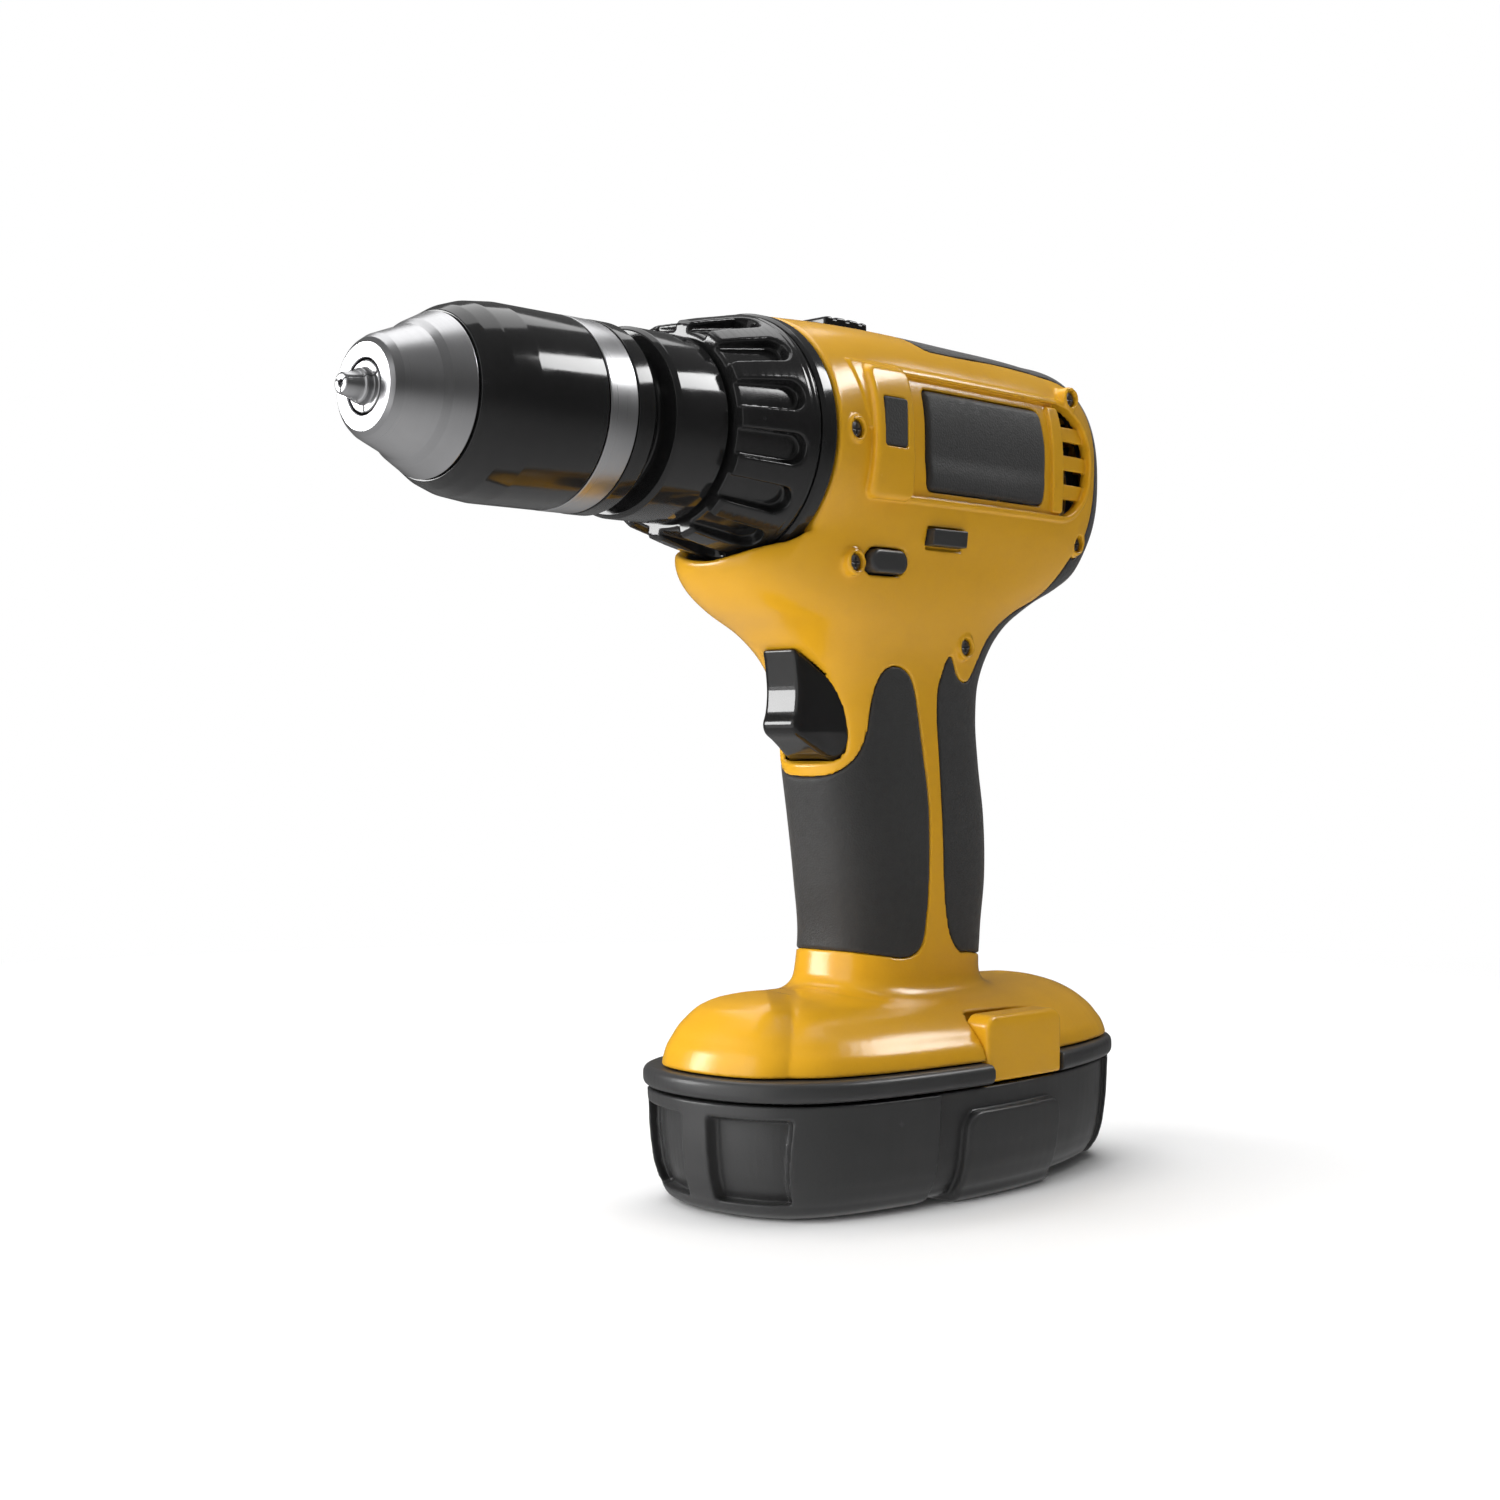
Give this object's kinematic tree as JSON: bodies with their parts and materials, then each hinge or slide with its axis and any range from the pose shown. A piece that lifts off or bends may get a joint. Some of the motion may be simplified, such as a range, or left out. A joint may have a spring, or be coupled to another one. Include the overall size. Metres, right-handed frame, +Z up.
{
  "type": "cordless drill",
  "caption": "Cordless pistol-grip drill driver with keyless chuck, clutch ring, trigger, direction button and lift-off battery pack.",
  "frame": {"origin": "centre of the battery's underside, on the floor the drill stands on", "axes": "+X from the chuck towards the rear of the motor barrel, +Y across the tool, +Z up along the handle"},
  "size_m": [0.2385, 0.0752, 0.211],
  "materials": {
    "yellow_plastic": "moulded yellow-orange plastic, fine grain, half gloss",
    "soft_rubber": "dark grey soft-touch rubber, finely stippled",
    "gloss_black": "smooth black plastic, high gloss",
    "case_plastic": "dark grey satin moulded plastic",
    "brushed_steel": "turned bright steel, satin",
    "dark_steel": "darkened steel",
    "brass": "sintered bronze-coloured gears",
    "copper": "copper windings and contacts"
  },
  "bodies": {
    "housing": {"housing_left": "yellow_plastic", "housing_right": "yellow_plastic", "front_grip_left": "soft_rubber", "front_grip_right": "soft_rubber", "rear_grip_left": "soft_rubber", "rear_grip_right": "soft_rubber", "side_pad_left": "soft_rubber", "side_pad_right": "soft_rubber", "side_lug": "case_plastic", "side_inlay": "case_plastic", "housing_screw_1": "dark_steel", "housing_screw_2": "dark_steel", "housing_screw_3": "dark_steel", "housing_screw_4": "dark_steel", "housing_screw_5": "dark_steel", "gearbox_case": "dark_steel", "gearbox_collar": "gloss_black", "front_flange": "gloss_black", "ring_gear": "dark_steel", "spindle_bearing": "dark_steel", "clutch_spring": "brushed_steel", "motor_can": "dark_steel", "motor_end_bell": "case_plastic", "rear_bearing": "dark_steel", "magnet_top": "dark_steel", "magnet_bottom": "dark_steel", "brush_left": "copper", "brush_right": "copper", "switch_body": "case_plastic", "trigger_spring": "brushed_steel", "selector_plate": "case_plastic", "terminal_block": "copper"},
    "chuck": {"chuck_body": "brushed_steel", "chuck_rear_ring": "gloss_black", "output_spindle": "brushed_steel", "planet_carrier": "dark_steel"},
    "sleeve": {"chuck_sleeve": "gloss_black", "sleeve_band": "brushed_steel", "jaw_nut": "dark_steel"},
    "jaw_a": {"jaw_1": "brushed_steel"},
    "jaw_b": {"jaw_2": "brushed_steel"},
    "jaw_c": {"jaw_3": "brushed_steel"},
    "rotor": {"rotor_shaft": "brushed_steel", "armature": "copper", "commutator": "copper", "motor_fan": "case_plastic"},
    "planet_a": {"planet_gear_1": "brass"},
    "planet_b": {"planet_gear_2": "brass"},
    "planet_c": {"planet_gear_3": "brass"},
    "clutch": {"clutch_ring": "gloss_black"},
    "trigger_body": {"trigger": "gloss_black"},
    "direction": {"direction_button": "case_plastic"},
    "selector": {"speed_selector": "gloss_black"},
    "battery": {"battery_case": "case_plastic", "battery_lid": "case_plastic", "battery_cell_1": "case_plastic", "battery_cell_2": "case_plastic", "battery_cell_3": "case_plastic"},
    "latch_a": {"latch_left": "yellow_plastic"},
    "latch_b": {"latch_right": "yellow_plastic"}
  },
  "joints": [
    {"name": "chuck_spin", "type": "hinge", "parent": "housing", "child": "chuck", "pos_m": [-0.1, 0, 0.1786], "axis": [1, 0, 0], "continuous": true},
    {"name": "rotor_spin", "type": "hinge", "parent": "housing", "child": "rotor", "pos_m": [0, 0, 0.1786], "axis": [1, 0, 0], "continuous": true},
    {"name": "sleeve_turn", "type": "hinge", "parent": "chuck", "child": "sleeve", "pos_m": [-0.12, 0, 0.1786], "axis": [1, 0, 0], "range_deg": [0, 1750]},
    {"name": "clutch_turn", "type": "hinge", "parent": "housing", "child": "clutch", "pos_m": [-0.064, 0, 0.1786], "axis": [1, 0, 0], "range_deg": [0, 300]},
    {"name": "trigger_pull", "type": "slide", "parent": "housing", "child": "trigger_body", "axis": [1, 0, 0], "range_m": [0, 0.0062], "stiffness_N_per_m": 600, "springref_m": -0.004},
    {"name": "direction_push", "type": "slide", "parent": "housing", "child": "direction", "axis": [0, 1, 0], "range_m": [-0.003, 0.003]},
    {"name": "speed_slide", "type": "slide", "parent": "housing", "child": "selector", "axis": [1, 0, 0], "range_m": [0, 0.008]},
    {"name": "battery_drop", "type": "slide", "parent": "housing", "child": "battery", "axis": [0, 0, -1], "range_m": [0, 0.06]},
    {"name": "latch_left_press", "type": "slide", "parent": "battery", "child": "latch_a", "axis": [0, 1, 0], "range_m": [0, 0.0023], "stiffness_N_per_m": 500, "springref_m": -0.002},
    {"name": "latch_right_press", "type": "slide", "parent": "battery", "child": "latch_b", "axis": [0, -1, 0], "range_m": [0, 0.0023], "stiffness_N_per_m": 500, "springref_m": -0.002},
    {"name": "planet_a_spin", "type": "hinge", "parent": "chuck", "child": "planet_a", "pos_m": [-0.042, 0.0108, 0.1786], "axis": [1, 0, 0], "continuous": true},
    {"name": "jaw_a_open", "type": "slide", "parent": "chuck", "child": "jaw_a", "axis": [0.9563, 0, 0.2924], "range_m": [0, 0.016]},
    {"name": "planet_b_spin", "type": "hinge", "parent": "chuck", "child": "planet_b", "pos_m": [-0.042, -0.0054, 0.18795], "axis": [1, 0, 0], "continuous": true},
    {"name": "jaw_b_open", "type": "slide", "parent": "chuck", "child": "jaw_b", "axis": [0.9563, -0.2532, -0.1462], "range_m": [0, 0.016]},
    {"name": "planet_c_spin", "type": "hinge", "parent": "chuck", "child": "planet_c", "pos_m": [-0.042, -0.0054, 0.16925], "axis": [1, 0, 0], "continuous": true},
    {"name": "jaw_c_open", "type": "slide", "parent": "chuck", "child": "jaw_c", "axis": [0.9563, 0.2532, -0.1462], "range_m": [0, 0.016]}
  ],
  "couplings": [
    {"joint": "rotor_spin", "follows": "chuck_spin", "ratio": 4.5},
    {"joint": "planet_a_spin", "follows": "chuck_spin", "ratio": -2.8},
    {"joint": "jaw_a_open", "follows": "sleeve_turn", "m_per_rad": 0.000509},
    {"joint": "planet_b_spin", "follows": "chuck_spin", "ratio": -2.8},
    {"joint": "jaw_b_open", "follows": "sleeve_turn", "m_per_rad": 0.000509},
    {"joint": "planet_c_spin", "follows": "chuck_spin", "ratio": -2.8},
    {"joint": "jaw_c_open", "follows": "sleeve_turn", "m_per_rad": 0.000509}
  ]
}
